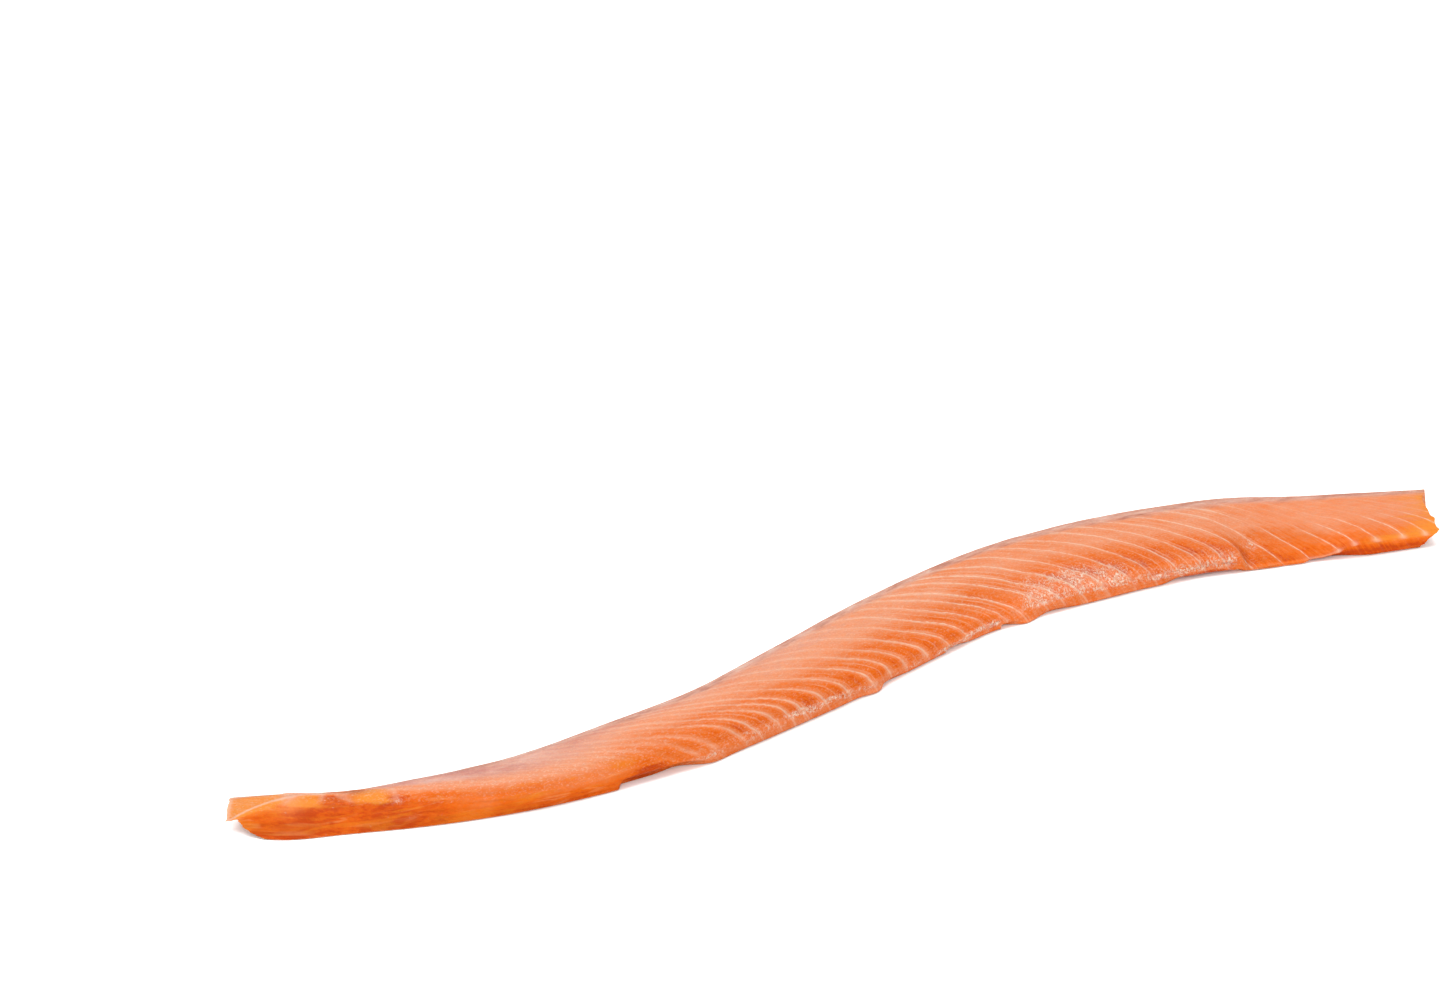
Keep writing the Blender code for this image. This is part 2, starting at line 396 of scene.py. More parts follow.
def placed(along, offset, up):
    """Points in space of places given by distance along, offset to the side, and height."""
    line = np.stack([np.interp(along, DISTANCE, PATH[:, k]) for k in (0, 1)], -1)
    aim = np.stack([np.interp(along, DISTANCE, DIRECTION[:, k]) for k in (0, 1)], -1)
    side = np.stack([-aim[..., 1], aim[..., 0]], -1)
    return np.concatenate([line + side * offset[..., None], up[..., None]], -1)


def strip_grid():
    """Every point of the strip's skin as distance along, offset and height, rings by columns."""
    girth = girth_of_columns()
    fraction = np.linspace(0, 1, RINGS)[:, None]
    ragged = 0.3 * grain(girth * 9, 0, seed=3) + 0.22 * grain(girth * 23, 0, seed=4)
    head = np.interp(girth, *np.array(HEAD_OUTLINE).T) + ragged * (1 - 0.7 * ramp(girth, 1.0, 0.15))
    tail = np.interp(girth, *np.array(TAIL_OUTLINE).T) + ragged * 0.6 + 0.3
    along = fraction * DISTANCE[-1]
    along = along + tail * (1 - fraction) ** CUT_FADE - head * fraction ** CUT_FADE
    starts = np.cumsum([0] + [arc + side for arc, side in zip(ARC_STEPS, SIDE_STEPS)])
    section = np.concatenate([block(along[:, starts[c]:starts[c + 1]], c) for c in range(4)], 1)
    return along, section[..., 0], section[..., 1], girth


def line_phase(along, offset, up):
    """How many muscle lines lie tailwards of a place in the flesh; whole numbers are the lines.

    A line meets the crease square, runs back towards the tail as it nears the skinned side, and
    zigzags down that side. It is a field through the solid, so all faces and the ends agree.
    """
    count = len(LINE_CROSSINGS)
    crossings = np.r_[
        LINE_CROSSINGS[0] - TAIL_SPACING * np.arange(TAIL_LINES, 0, -1),
        LINE_CROSSINGS,
        LINE_CROSSINGS[-1] + HEAD_SPACING * np.arange(1, HEAD_LINES + 1),
    ]
    numbers = np.arange(-TAIL_LINES, count + HEAD_LINES)
    skin, front = through(SKIN_SIDE, along), through(FRONT_SIDE, along)
    to_skin = np.clip((offset + front) / (skin + front), 0, 1)
    height = np.clip(up / through(SKIN_HEIGHT, along), 0, 1)
    run = through(LINE_RUN, along) * to_skin ** through(LINE_CURVE, along)
    run = run + EDGE_RUN * to_skin ** EDGE_CURVE
    fold = 1 - np.abs(1 - 2 * height)
    lean = FRONT_LEAN * (1 - to_skin) * (1 - height) ** 1.5
    at_crease = along + run - lean + ZIGZAG * fold * to_skin ** 6
    fine_wander = 0.25 * grain(along / 3.1, to_skin * 7, seed=6) * (0.3 + 0.7 * ramp(along, 200, 40))
    wander = 0.5 * grain(along / 9, to_skin * 3, seed=5) + fine_wander
    return through(np.stack([crossings, numbers], 1), at_crease + wander)


def torn(along, girth):
    """Where the flesh is torn and pale, from 0 to 1: random patches of a band that follows the
    crease and the upper front face from the lip to the notch, and a few small marks."""
    reach = 0.13 + 0.15 * ramp(girth, 1.0, 0.2) * (1 - 0.9 * hump(along, 277, 18))
    band = hump(girth, through(TORN_MIDDLE, along), reach) * through(TORN_OFTEN, along)
    uneven = grain(along / 7, girth * 2.4, seed=21) * (1 - 0.6 * ramp(along, 250, 15))
    patches = np.clip(0.5 + uneven + 0.2 * ramp(along, 245, 30), 0, 1)
    marks = spots(along, girth, TORN_MARKS)
    return np.clip(band * stretch(along, *TORN_STRETCH) * patches * 1.2 + marks, 0, 1)


def line_ends(along, girth, phase):
    """Pale bits of fat where the lines reach the crease of the head end, from 0 to 1."""
    near = hump(phase - np.round(phase), 0, 0.16)
    return near * hump(girth, 1.04, 0.09) * ramp(along, 362, 4)


def relief(along, girth, phase):
    """How far the surface stands out, in mm. Muscle layers overlap like tiles at the crease, each
    rising headwards and dropping at its line; torn places are rough; the rest is gently uneven."""
    top = stretch(girth, -0.03, 0.08, 0.95, 0.1)
    front = stretch(girth, 0.95, 0.1, 1.88, 0.12)
    skin = stretch(girth, -0.95, 0.1, -0.1, 0.1)
    all_round = np.maximum(np.maximum(top, front), skin)
    tail = 1 - ramp(along, 95, 40)
    crease = hump(girth, 1.02, 0.2) * (1 - tail) * (1 - ramp(along, 345, 20))
    part = phase - np.floor(phase)
    swell = np.sin(np.pi * part) ** 0.5 - 0.6
    tile = part - ramp(part, 0.86, 0.14) - 0.4
    on_top, on_front, on_skin = LAYER_SWELLS
    layers = (on_top * top + on_front * front * (1 - tail) + on_skin * skin) * swell
    layers = layers + LAYER_OVERLAP * crease * tile + CREASE_SWELL * crease * swell
    broad = 0.22 * grain(along / 24, girth * 1.9, seed=11) + 0.12 * grain(along / 8.5, girth * 4, seed=12)
    streaks = 0.16 * grain(along / 14, girth * 9, seed=17) * front * (0.3 + 0.7 * tail)
    fine = 0.035 * grain(along / 1.9, girth * 21, seed=13)
    rough = torn(along, girth) * (
        0.22 * grain(along / 1.6, girth * 15, seed=15) + 0.16 * grain(along / 0.9, girth * 24, seed=16)
    )
    fold = np.clip(1 - np.abs(girth - FOLD_GIRTH) / FOLD_HALF_WIDTH, 0, 1)
    bulges = spots(along, girth, BULGES) + FOLD_HEIGHT * stretch(along, *FOLD_STRETCH) * fold
    bulges = bulges + LINE_END_HEIGHT * line_ends(along, girth, phase)
    return layers + (broad + fine + bulges) * all_round + streaks + rough


def tucked(along, offset, up, girth):
    """The offset with the front face turned in under itself near the table, where it overhangs:
    moved towards the skinned side by the tuck, below the height that each stretch is raised to."""
    lip, ledge = stretch(along, *LIP), stretch(along, *LEDGE)
    tuck = UNDERCUT * (lip + ledge)
    tuck = tuck + sum(depth * stretch(along, *place) for *place, depth in STEPS)
    tuck = tuck + sum(depth * hump(along, at, reach) for at, reach, depth in HOLLOWS)
    raised = TURNED_BELOW + 1.4 * lip - 0.4 * ledge
    low = 1 - ramp(up, raised * 0.35, raised * 0.65)
    front = stretch(girth, 1.05, 0.2, 2.3, 0.5)
    return offset + tuck * low * front


def outward(points):
    """Unit normals of a grid of rings by columns, from its two runs of neighbours."""
    run = np.gradient(points, axis=0)
    turn = np.roll(points, -1, 1) - np.roll(points, 1, 1)
    normal = np.cross(turn, run)
    return normal / (np.linalg.norm(normal, axis=-1, keepdims=True) + 1e-9)


def capped(rings, tips):
    """A grid with smaller rings added at both ends, each drawn in towards its tip."""
    scale = (1 - np.linspace(0.98, 0, CAP_RINGS, endpoint=False) ** 2)[:, None, None]
    tail = tips[0] + scale * (rings[0] - tips[0])
    head = tips[1] + scale[::-1] * (rings[-1] - tips[1])
    return np.concatenate([tail, rings, head])


def strip_shape():
    """The whole skin: grid, tuck, relief along the surface's own normals, and closed ends. It is
    given in space, with its tips, and as the same strip straightened, with each point's girth."""
    along, offset, up, girth = strip_grid()
    girth = np.broadcast_to(girth, along.shape)
    offset = tucked(along, offset, up, girth)
    phase = line_phase(along, offset, up)
    points = placed(along, offset, up)
    points = points + outward(points) * relief(along, girth, phase)[..., None]
    points[..., 2] = np.maximum(points[..., 2], 0)
    straight = np.stack([along, offset, up], -1)
    inward = np.array([[*DIRECTION[0], 0], [*-DIRECTION[-1], 0]])
    depths = np.array([[TAIL_HOLLOW], [-HEAD_BULGE]])
    tips = points[[0, -1]].mean(1) + inward * depths
    straight_tips = straight[[0, -1]].mean(1) + np.array([[1, 0, 0], [-1, 0, 0]]) * depths
    girth = np.concatenate([girth[:1].repeat(CAP_RINGS, 0), girth, girth[-1:].repeat(CAP_RINGS, 0)])
    return capped(points, tips), tips, capped(straight, straight_tips), girth


def steepness(points, phase):
    """How fast the line count changes over the surface, in lines per mm, for even line widths."""
    run = np.linalg.norm(np.gradient(points, axis=0), axis=-1) + 1e-6
    turn = np.linalg.norm(np.roll(points, -1, 1) - np.roll(points, 1, 1), axis=-1) / 2 + 1e-6
    by_run = np.gradient(phase, axis=0) / run
    by_turn = (np.roll(phase, -1, 1) - np.roll(phase, 1, 1)) / 2 / turn
    return np.clip(np.hypot(by_run, by_turn), 0.05, 1.5)


def zones_of(along, girth):
    """Weights from 0 to 1 that the tints share: the faces of the skin with soft borders, how far
    over the top and down the front a point is, and the tail's and the head's shares."""
    body = np.ones(len(along))
    body[:CAP_RINGS] = body[-CAP_RINGS:] = 0
    whole = body[:, None] * np.ones_like(girth)
    top = stretch(girth, -0.03, 0.06, 0.96, 0.08) * whole
    front = stretch(girth, 0.96, 0.08, 1.96, 0.06) * whole
    skin = stretch(girth, -1.02, 0.06, -0.04, 0.04) * whole
    return SimpleNamespace(
        whole=whole, top=top, front=front, skin=skin, cut=np.clip(1 - top - front - skin, 0, 1),
        over=np.clip(girth, 0, 1), down=np.clip(girth - 1, 0, 1),
        tail=1 - ramp(along, 55, 100), front_tail=1 - ramp(along, 100, 28), head=ramp(along, 340, 25),
        pinch=hump(along, PINCH, PINCH_REACH), paler=hump(along, 95, 15), torn=torn(along, girth),
    )


def warmth_of(along, girth, phase, zones):
    """How orange the flesh is, from 0 at its pinkest to 1 at its deepest. The top warms towards
    the crease, the front face is warmer still, and each has its own paler and deeper stretches.
    The deeper orange low on the front under the lip and under the ledge is painted shade."""
    over, down, head = zones.over, zones.down, zones.head
    border = 0.52 + 0.3 * ramp(along, 362, 16) + 0.03 * grain(along / 3, 0, seed=41)
    deep_zone = ramp(over, border - 0.06, 0.12) * stretch(along, 341, 10, 372, 12)
    warm_top = (
        0.37 + 0.22 * ramp(over, 0.5, 0.45) - zones.tail * (0.30 - 0.12 * over)
        + spots(along, over, WARM_SPOTS)
        + 0.07 * stretch(along, 215, 25, 350, 15)
        + 0.11 * ramp(over, 0.5, 0.3) * stretch(along, 262, 20, 343, 10)
        + 0.3 * zones.pinch
        + 0.13 * deep_zone + 0.09 * head
        + 0.07 * hump(along, 120, 22)
        - 0.07 * zones.paler * ramp(over, 0.6, 0.3)
    )
    warm_front = (
        0.69 + zones.front_tail * (0.13 + 0.10 * down + 0.06 * hump(along, 40, 25))
        - 0.16 * zones.paler * (1 - ramp(down, 0.3, 0.3))
        # Painted shade: deeper orange low on the front face where it turns under the lip
        + 0.22 * hump(along, 114, 8) * ramp(down, 0.1, 0.2)
        + ramp(along, 358, 8) * (0.08 + 0.22 * ramp(down, 0.1, 0.7))
        + 0.08 * hump(along, 370, 8)
        # Painted shade: deeper orange low on the front face in the undercut under the ledge
        + 0.3 * stretch(along, 312, 10, 332, 6) * ramp(down, 0.45, 0.25)
    )
    scallop = hump(girth, 1.03, 0.15) * np.sin(np.pi * (phase - np.floor(phase)))
    hook = hump(phase - np.round(phase), 0, 0.15) * hump(girth, 1.2, 0.3)
    curled = stretch(along, 116, 8, 215, 30) * (0.15 * scallop - 0.3 * hook)
    by_face = zones.top * warm_top + zones.front * warm_front + zones.skin * 0.3 + zones.cut * 0.5
    return by_face + curled + 0.12 * zones.torn * ramp(along, 110, 20)


def line_strength(along, girth, phase, zones):
    """How strongly the muscle lines show, from 0 to 1: each line has its own strength, and they
    grow bolder from the tail to the head and fade on the front face and the head's upper half."""
    bold = 0.45 + 0.55 * ramp(along, 185, 60)
    bold = bold * (1 - 0.55 * (1 - ramp(along, 80, 50)))
    upper_head = 1 - 0.8 * ramp(along, 335, 15) * (1 - ramp(zones.over, 0.45, 0.2))
    own_strengths = np.random.default_rng(51).uniform(0.6, 1.0, 128)
    own = own_strengths[np.round(phase).astype(int) % len(own_strengths)]
    on_front = zones.front * ramp(along, 122, 30) * (0.5 - 0.45 * zones.head)
    at_crease = hump(girth, 1.02, 0.16) * stretch(along, 120, 30, 345, 10)
    lines = zones.top * bold * upper_head + on_front + 0.3 * at_crease
    lines = lines + zones.skin * 0.5 + zones.cut * 0.5
    return np.clip(lines * own, 0, 1)


def tail_tints(along, girth, phase, zones):
    """Shares of the rosy flesh with its painted pink sheen, the amber flesh with its painted glow
    towards the head end, and the pale fat with its painted highlights, which lie mostly at the tail
    and along its crease: soft stretches, and two uneven lobes with pale rims."""
    over, top = zones.over, zones.top
    # Rosy flesh on the tail's top, partly its own tint and partly a painted pink sheen of the wet top
    rosy_and_sheen = 0.9 * (1 - ramp(along, 60, 60)) * (1 - ramp(over, 0.6, 0.38))
    rosy_and_sheen = rosy_and_sheen + 0.5 * stretch(along, 60, 60, 110, 110) * (1 - ramp(over, 0.15, 0.4))
    rosy_and_sheen = top * rosy_and_sheen * ramp(along, PINCH + 1, 8)

    uneven = 1 + 0.3 * grain(along / 2.5, girth * 6, seed=43)
    lobes = [
        np.hypot((along - at) / reach, (girth - middle) / reach_round) * uneven
        for at, reach, middle, reach_round in AMBER_LOBES
    ]
    flap = (1 - ramp(along, 10, 9)) * stretch(girth, -0.3, 0.2, 0.98, 0.25)
    amber_and_glow = (
        1.2 * flap + 0.9 * sum(hump(lobe, 0, 1) for lobe in lobes)
        # Towards the head end, along its crease and by its cut edge, the amber is a painted glow of light
        # through the thin flesh
        + 0.45 * hump(girth, 1.06, 0.22) * ramp(along, 372, 18)
        + (0.4 * ramp(along, 388, 14) + 0.2 * ramp(along, 402, 3)) * (top + zones.front * 0.5)
        + 0.35 * (1 - ramp(along, 26, 12)) * hump(girth, 1.2, 0.2)
    )
    lobe_rims = sum(hump(lobe, 1.25, width) for lobe, width in zip(lobes, LOBE_RIMS))
    # Pale fat, partly painted highlights: the spot at 17 mm on the tail's knob, the thin line along the
    # flap's crease, and the pale rim at the tail tip
    fat_and_highlight = (
        0.9 * hump(along, 24.5, 3) * (1 - ramp(girth, 0.9, 0.15))
        + spots(along, girth, FAT_AND_HIGHLIGHT_SPOTS)
        + 0.8 * hump(girth, 1.0, 0.035) * (1 - ramp(along, 14, 6))
        + 0.6 * line_ends(along, girth, phase)
        + 0.7 * (1 - ramp(along, 0.8, 1.2)) * ramp(girth, -0.2, 0.1)
        + 0.3 * lobe_rims * (1 - ramp(girth, 1.1, 0.1))
    )
    return {
        "rosy_and_sheen": rosy_and_sheen,
        "amber_and_glow": np.clip(amber_and_glow * zones.whole, 0, 1),
        "fat_and_highlight": np.clip(fat_and_highlight * zones.whole, 0, 1),
    }


def strip_fields(straight, girth, points):
    """What the finish reads at each point: the line count and its steepness, how strongly the
    lines show, how far each tint of the flesh has its place there, and the painted light that
    makes the flesh lighter or darker."""
    along, offset, up = np.moveaxis(straight, -1, 0)
    phase = line_phase(along, offset, up)
    zones = zones_of(along, girth)
    over, down, head, top, front = zones.over, zones.down, zones.head, zones.top, zones.front
    from_skin = (through(SKIN_SIDE, along) - offset) / through(BAND_WIDTH, along)
    inner = (top * ramp(over, 0.4, 0.5) + front * 0.6) * ramp(along, 150, 70) * (1 - 0.5 * head)
    fine = (top + front * (1 - zones.front_tail)) * (1 - head)
    # Painted light: the flesh is made lighter on the front face, most at the head, past the middle and at
    # the foot, and near the head's crease and on torn places, for light that seeps through the flesh and
    # against the shade there; the top is also darker at the pinch
    lift = (
        1 + 0.04 * front * zones.paler + 0.03 * top * head + 0.07 * head * hump(girth, 0.86, 0.12)
        + 0.12 * zones.torn + 0.10 * front * (1 + 1.6 * head + 0.5 * ramp(along, 180, 30))
        - 0.24 * top * zones.pinch + 0.18 * front * ramp(down, 0.7, 0.25) * ramp(along, 130, 60)
    )
    return {
        "straight": straight * MM,
        "lines_before": phase,
        "lines_per_mm": steepness(points, phase) * (1 - 0.5 * ramp(along, 335, 25)),
        "line_strength": line_strength(along, girth, phase, zones),
        "line_shade": inner,
        "warmth": warmth_of(along, girth, phase, zones),
        "pale_streaks": front * zones.front_tail * (1 - 0.4 * down),
        "fine": fine + 0.9 * zones.front_tail * hump(girth, 1.04, 0.18) * zones.whole,
        "lift": lift,
        "skin_side": np.clip(zones.skin, 0, 1),
        "band": np.clip(from_skin, 0, 3) + 3 * (1 - top),
        "torn": zones.torn * zones.whole,
        **tail_tints(along, girth, phase, zones),
    }


def tube_faces(rings, columns):
    """Faces of a grid of rings by columns, wrapped round and facing outwards: quads, and at each
    end a fan of triangles to a tip. The two tips are numbered after the grid's points."""
    i, j = np.meshgrid(np.arange(rings - 1), np.arange(columns), indexing="ij")
    k = (j + 1) % columns
    quads = np.stack([i * columns + j, (i + 1) * columns + j, (i + 1) * columns + k, i * columns + k], -1)
    j, k = j[0], k[0]
    last, tip = (rings - 1) * columns, rings * columns
    fans = np.concatenate([
        np.stack([np.full(columns, tip), j, k], -1),
        np.stack([np.full(columns, tip + 1), last + k, last + j], -1),
    ])
    return quads.reshape(-1, 4), fans


def closed_mesh(name, points, tips, fields):
    """A closed mesh from a grid of rings by columns and two tips, with its fields as attributes."""
    quads, fans = tube_faces(*points.shape[:2])
    mesh = bpy.data.meshes.new(name)
    vertices = np.concatenate([points.reshape(-1, 3), tips]) * MM
    mesh.from_pydata(vertices.tolist(), [], quads.tolist() + fans.tolist())
    for label, field in fields.items():
        ends = field[[0, -1]].mean(1)
        values = np.concatenate([field.reshape(-1, *field.shape[2:]), ends]).astype(np.float32)
        vector = values.ndim == 2
        attribute = mesh.attributes.new(label, "FLOAT_VECTOR" if vector else "FLOAT", "POINT")
        attribute.data.foreach_set("vector" if vector else "value", values.ravel())
    return shown(name, mesh)


def shown(name, mesh):
    """An object for a mesh, shaded smooth but for its sharp rims, and linked into the scene."""
    mesh.shade_smooth()
    mesh.set_sharp_from_angle(angle=SHARP_ANGLE)
    mesh.update()
    piece = bpy.data.objects.new(name, mesh)
    bpy.context.scene.collection.objects.link(piece)
    return piece


def sampled(field, ring, column):
    """Values of a grid at fractional places, straight-line between its four neighbours."""
    i = np.clip(np.floor(ring).astype(int), 0, len(field) - 2)
    j = np.floor(column).astype(int)
    u, v = (ring - i)[..., None], (column - j)[..., None]
    wide = field.shape[1]
    near = field[i, j % wide] * (1 - v) + field[i, (j + 1) % wide] * v
    far = field[i + 1, j % wide] * (1 - v) + field[i + 1, (j + 1) % wide] * v
    return near * (1 - u) + far * u


def fibre_piece(points, straight, girth):
    """Torn fibres along the crease, as one mesh of short slivers.

    Each sliver is a tapered tube whose middle follows a bent path over the strip's own grid,
    raised by a half wave so that both its ends are under the surface. Its columns run the other
    way round than the strip's, so its faces are turned over.
    """
    rng = np.random.default_rng(61)
    width = np.linalg.norm(np.roll(points, -1, 1) - np.roll(points, 1, 1), axis=-1)
    chance = torn(straight[..., 0], girth) ** 2 * width
    chance[:CAP_RINGS + 2] = chance[-CAP_RINGS - 2:] = 0
    chosen = rng.choice(chance.size, FIBRES, replace=False, p=(chance / chance.sum()).ravel())
    ring, column = np.unravel_index(chosen, chance.shape)
    length = rng.uniform(0.3, 0.8, FIBRES)
    lean = rng.normal(0.35, 0.7, FIBRES)
    thick = rng.uniform(0.04, 0.08, FIBRES)
    bend = rng.normal(0, 0.15, FIBRES)
    lift = rng.uniform(0.1, 0.14, FIBRES)
    t = np.linspace(0, 1, FIBRE_RINGS + 2)[None, :]
    ring_step = DISTANCE[-1] / RINGS
    ring = ring[:, None] + (t - 0.5) * (length * np.sin(lean) / ring_step)[:, None]
    ring = ring + bend[:, None] * np.sin(np.pi * t) / ring_step
    column = column[:, None] + (t - 0.5) * (length * np.cos(lean) / COLUMN_STEP)[:, None]
    centre = sampled(points, ring, column)
    normal = sampled(outward(points), ring, column)
    centre = centre + normal * (lift[:, None] * np.sin(np.pi * t) - FIBRE_DEPTH)[..., None]
    heading = np.gradient(centre, axis=1)
    heading /= np.linalg.norm(heading, axis=-1, keepdims=True)
    side = np.cross(normal, heading)
    radius = (thick[:, None] * np.sin(np.pi * t) ** 0.6)[:, 1:-1, None, None]
    turn = (np.arange(FIBRE_SIDES) / FIBRE_SIDES * 2 * np.pi)[:, None]
    skin = centre[:, 1:-1, None] + radius * (
        np.cos(turn) * side[:, 1:-1, None] + np.sin(turn) * normal[:, 1:-1, None]
    )
    skin = skin.reshape(FIBRES, -1, 3)
    vertices = np.concatenate([skin, centre[:, :1], centre[:, -1:]], 1)
    starts = (np.arange(FIBRES) * vertices.shape[1])[:, None, None]
    faces = []
    for one in tube_faces(FIBRE_RINGS, FIBRE_SIDES):
        turned = np.roll(one[:, ::-1], 1, 1)
        faces += (turned + starts).reshape(-1, one.shape[1]).tolist()
    mesh = bpy.data.meshes.new("crease_fibres")
    mesh.from_pydata((vertices.reshape(-1, 3) * MM).tolist(), [], faces)
    return shown("crease_fibres", mesh)


def seen(red, green, blue):
    """A surface colour for a shader, given as the 0 to 255 screen colour that it shows under the
    studio's light. It undoes the screen's sRGB curve, then divides by STUDIO_LIGHT."""
    parts = np.array([red, green, blue]) / 255
    light = np.where(parts <= 0.04045, parts / 12.92, ((parts + 0.055) / 1.055) ** 2.4) / STUDIO_LIGHT
    return (*light.tolist(), 1.0)


class Wire:
    """One socket of a material. Sums and products of wires and numbers add Math nodes."""

    def __init__(self, bench, socket):
        self.bench = bench
        self.socket = socket

    def math(self, operation, *others, clamp=False):
        """A Math node on this wire and up to two others."""
        settings = {"operation": operation, "use_clamp": clamp}
        return self.bench.add("ShaderNodeMath", settings, [self, *others])

    def __add__(self, other):
        return self.math("ADD", other)

    def __sub__(self, other):
        return self.math("SUBTRACT", other)

    def __mul__(self, other):
        return self.math("MULTIPLY", other)

    def __truediv__(self, other):
        return self.math("DIVIDE", other)

    def __rsub__(self, other):
        return self.bench.add("ShaderNodeMath", {"operation": "SUBTRACT"}, [other, self])

    def __rtruediv__(self, other):
        return self.bench.add("ShaderNodeMath", {"operation": "DIVIDE"}, [other, self])

    __radd__ = __add__
    __rmul__ = __mul__

    def clamped(self):
        """The value kept between 0 and 1."""
        return self.math("ADD", 0.0, clamp=True)

    def between(self, low, high):
        """Soft step from 0 at low to 1 at high."""
        settings = {"interpolation_type": "SMOOTHSTEP", "clamp": True}
        return self.bench.add("ShaderNodeMapRange", settings, [self, low, high, 0.0, 1.0])


class Bench:
    """The node tree of one material, to which nodes are added by type, settings and inputs."""

    def __init__(self, name):
        self.material = bpy.data.materials.new(name)
        self.material.use_nodes = True
        self.tree = self.material.node_tree
        self.shader = self.tree.nodes["Principled BSDF"]

    def add(self, kind, settings=None, inputs=(), output=0):
        """A new node of a kind, its settings made first; inputs by place or by name."""
        node = self.tree.nodes.new(kind)
        for key, value in (settings or {}).items():
            setattr(node, key, value)
        pairs = inputs.items() if isinstance(inputs, dict) else enumerate(inputs)
        for key, value in pairs:
            self.feed(node.inputs[key], value)
        return Wire(self, node.outputs[output])

    def feed(self, socket, value):
        """Links a wire to a socket, or sets the socket to a plain value."""
        if isinstance(value, Wire):
            self.tree.links.new(value.socket, socket)
        else:
            socket.default_value = value

    def attribute(self, name, vector=False):
        """A field of the piece, as strip_fields gives it."""
        return self.add("ShaderNodeAttribute", {"attribute_name": name}, output=1 if vector else 2)

    def mix(self, factor, first, second):
        """The first colour with a share of the second, which is a wire or a screen colour."""
        if not isinstance(second, Wire):
            second = seen(*second)
        return self.add("ShaderNodeMix", {"data_type": "RGBA"}, {0: factor, 6: first, 7: second}, output=2)

    def noise(self, vector, scale, detail=2.0, roughness=0.5, distortion=0.0):
        """Noise with as many waves in a metre as its scale."""
        inputs = {"Vector": vector, "Scale": scale, "Detail": detail, "Roughness": roughness}
        return self.add("ShaderNodeTexNoise", {}, {**inputs, "Distortion": distortion})

    def stretched(self, vector, scale):
        """A pattern's coordinates drawn out along the axes whose scale is small."""
        return self.add("ShaderNodeMapping", {"vector_type": "POINT"}, {"Vector": vector, "Scale": scale})

    def joined(self, x, y):
        """Coordinates made of two wires."""
        return self.add("ShaderNodeCombineXYZ", {}, [x, y, 0.0])

    def tones(self, factor, stops):
        """A colour ramp of (place, red, green, blue) stops in screen colours."""
        wire = self.add("ShaderNodeValToRGB", {}, [factor])
        elements = wire.socket.node.color_ramp.elements
        for place, *colour in stops[1:-1]:
            elements.new(place).color = seen(*colour)
        for end in (0, -1):
            place, *colour = stops[end]
            elements[end].position, elements[end].color = place, seen(*colour)
        return wire


